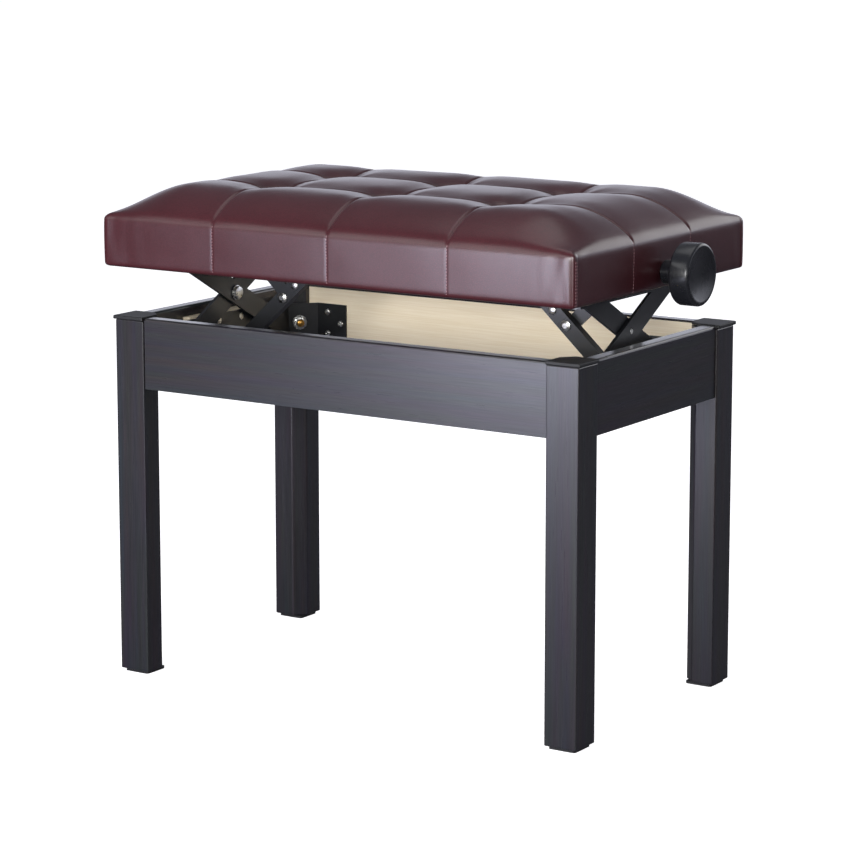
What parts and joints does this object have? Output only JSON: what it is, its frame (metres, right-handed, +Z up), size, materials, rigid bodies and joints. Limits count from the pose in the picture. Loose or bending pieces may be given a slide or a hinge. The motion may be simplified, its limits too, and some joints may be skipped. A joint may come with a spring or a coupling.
{
  "type": "adjustable piano bench",
  "caption": "Adjustable piano bench: dark wooden legs and aprons, buttoned padded leather seat on steel scissors, raised by a side knob.",
  "frame": {"origin": "on the floor, at the centre of the whole bench's outline seen from above, knob included", "axes": "+X along the bench towards the height knob, +Y towards the back, +Z up"},
  "size_m": [0.604, 0.345, 0.5176],
  "materials": {
    "espresso_lacquer": "satin espresso lacquer on straight-grained wood",
    "raw_wood": "unfinished pale wood and plywood",
    "black_plastic": "moulded black plastic",
    "black_steel": "satin black paint on pressed steel",
    "bright_zinc": "bright zinc plate",
    "yellow_zinc": "yellow zinc plate",
    "white_nylon": "natural nylon",
    "leather": "smooth oxblood leather with fine grain"
  },
  "bodies": {
    "frame": {"leg_front_left": "espresso_lacquer", "leg_back_left": "espresso_lacquer", "leg_front_right": "espresso_lacquer", "leg_back_right": "espresso_lacquer", "leg_cap_front_left": "black_plastic", "leg_cap_back_left": "black_plastic", "leg_cap_front_right": "black_plastic", "leg_cap_back_right": "black_plastic", "foot_glide_front_left": "black_plastic", "foot_glide_back_left": "black_plastic", "foot_glide_front_right": "black_plastic", "foot_glide_back_right": "black_plastic", "apron_front": "espresso_lacquer", "apron_back": "espresso_lacquer", "apron_left": "espresso_lacquer", "apron_right": "espresso_lacquer", "rail_cleat_left": "raw_wood", "rail_cleat_right": "raw_wood", "corner_bracket_front_left": "black_steel", "corner_bracket_back_left": "black_steel", "corner_bracket_front_right": "black_steel", "corner_bracket_back_right": "black_steel", "hanger_bolt_front_left": "yellow_zinc", "hanger_bolt_back_left": "yellow_zinc", "hanger_bolt_front_right": "yellow_zinc", "hanger_bolt_back_right": "yellow_zinc", "base_rail_left": "black_steel", "base_rail_right": "black_steel", "drive_foot_left": "black_steel", "drive_foot_right": "black_steel", "foot_pin_left": "bright_zinc", "foot_pin_right": "bright_zinc"},
    "drive_arm_right": {"drive_arm_right": "black_steel", "link_pin_right": "bright_zinc"},
    "drive_link_right": {"drive_link_right": "black_steel"},
    "seat": {"seat_rail_left": "black_steel", "seat_rail_right": "black_steel", "seat_frame_front": "raw_wood", "seat_frame_back": "raw_wood", "seat_frame_left": "raw_wood", "seat_frame_right": "raw_wood", "seat_board": "raw_wood", "seat_cover": "leather", "seat_cushion": "leather", "screw_bush_left": "white_nylon", "screw_bush_right": "white_nylon"},
    "screw_nut_right": {"screw_nut_right": "bright_zinc"},
    "drive_arm_left": {"drive_arm_left": "black_steel", "link_pin_left": "bright_zinc"},
    "drive_link_left": {"drive_link_left": "black_steel"},
    "screw_nut_left": {"screw_nut_left": "bright_zinc"},
    "scissor_inner_right": {"scissor_inner_right": "black_steel", "scissor_bolt_right": "bright_zinc"},
    "scissor_outer_right": {"scissor_outer_right": "black_steel"},
    "scissor_inner_left": {"scissor_inner_left": "black_steel", "scissor_bolt_left": "bright_zinc"},
    "scissor_outer_left": {"scissor_outer_left": "black_steel"},
    "screw": {"lead_screw": "bright_zinc", "height_knob": "black_plastic"}
  },
  "joints": [
    {"name": "seat_lift", "type": "hinge", "parent": "frame", "child": "drive_arm_right", "pos_m": [0.2, 0, 0.3435], "axis": [0, 1, 0], "range_deg": [-24.6, 20.4]},
    {"name": "right_link_turn", "type": "hinge", "parent": "drive_arm_right", "child": "drive_link_right", "pos_m": [0.152, 0, 0.3875], "axis": [0, 1, 0], "range_deg": [-41, 49.4]},
    {"name": "seat_pivot", "type": "hinge", "parent": "drive_link_right", "child": "seat", "pos_m": [0.2, 0, 0.4315], "axis": [0, 1, 0], "range_deg": [-24.8, 20.6]},
    {"name": "right_nut_pivot", "type": "hinge", "parent": "drive_arm_right", "child": "screw_nut_right", "pos_m": [0.104, 0, 0.4315], "axis": [0, 1, 0], "range_deg": [-20.6, 24.8]},
    {"name": "left_arm_turn", "type": "hinge", "parent": "frame", "child": "drive_arm_left", "pos_m": [-0.244, 0, 0.3435], "axis": [0, -1, 0], "range_deg": [-24.8, 20.6]},
    {"name": "left_link_turn", "type": "hinge", "parent": "drive_arm_left", "child": "drive_link_left", "pos_m": [-0.196, 0, 0.3875], "axis": [0, -1, 0], "range_deg": [-41, 49.4]},
    {"name": "left_nut_pivot", "type": "hinge", "parent": "drive_arm_left", "child": "screw_nut_left", "pos_m": [-0.148, 0, 0.4315], "axis": [0, -1, 0], "range_deg": [-20.6, 24.8]},
    {"name": "right_scissor_foot", "type": "hinge", "parent": "frame", "child": "scissor_inner_right", "pos_m": [0.21875, 0.08065, 0.3435], "axis": [-1, 0, 0], "range_deg": [-14.9, 12.4]},
    {"name": "right_scissor_middle", "type": "hinge", "parent": "scissor_inner_right", "child": "scissor_outer_right", "pos_m": [0.22275, 0, 0.3875], "axis": [-1, 0, 0], "range_deg": [-24.6, 29.6]},
    {"name": "left_scissor_foot", "type": "hinge", "parent": "frame", "child": "scissor_inner_left", "pos_m": [-0.26275, 0.08065, 0.3435], "axis": [-1, 0, 0], "range_deg": [-14.9, 12.4]},
    {"name": "left_scissor_middle", "type": "hinge", "parent": "scissor_inner_left", "child": "scissor_outer_left", "pos_m": [-0.26675, 0, 0.3875], "axis": [-1, 0, 0], "range_deg": [-24.6, 29.6]},
    {"name": "knob_turn", "type": "hinge", "parent": "seat", "child": "screw", "pos_m": [-0.022, 0, 0.4495], "axis": [1, 0, 0], "range_deg": [-3515.9, 4239.6]}
  ],
  "couplings": [
    {"joint": "right_link_turn", "follows": "seat_lift", "ratio": -2},
    {"joint": "seat_pivot", "follows": "seat_lift", "ratio": 1},
    {"joint": "right_nut_pivot", "follows": "seat_lift", "ratio": -1},
    {"joint": "left_arm_turn", "follows": "seat_lift", "ratio": 1},
    {"joint": "left_link_turn", "follows": "seat_lift", "ratio": -2},
    {"joint": "left_nut_pivot", "follows": "seat_lift", "ratio": -1},
    {"joint": "right_scissor_foot", "follows": "seat_lift", "ratio": 0.5976},
    {"joint": "right_scissor_middle", "follows": "seat_lift", "ratio": -1.1952},
    {"joint": "left_scissor_foot", "follows": "seat_lift", "ratio": 0.5976},
    {"joint": "left_scissor_middle", "follows": "seat_lift", "ratio": -1.1952},
    {"joint": "knob_turn", "follows": "seat_lift", "ratio": -172.3}
  ]
}
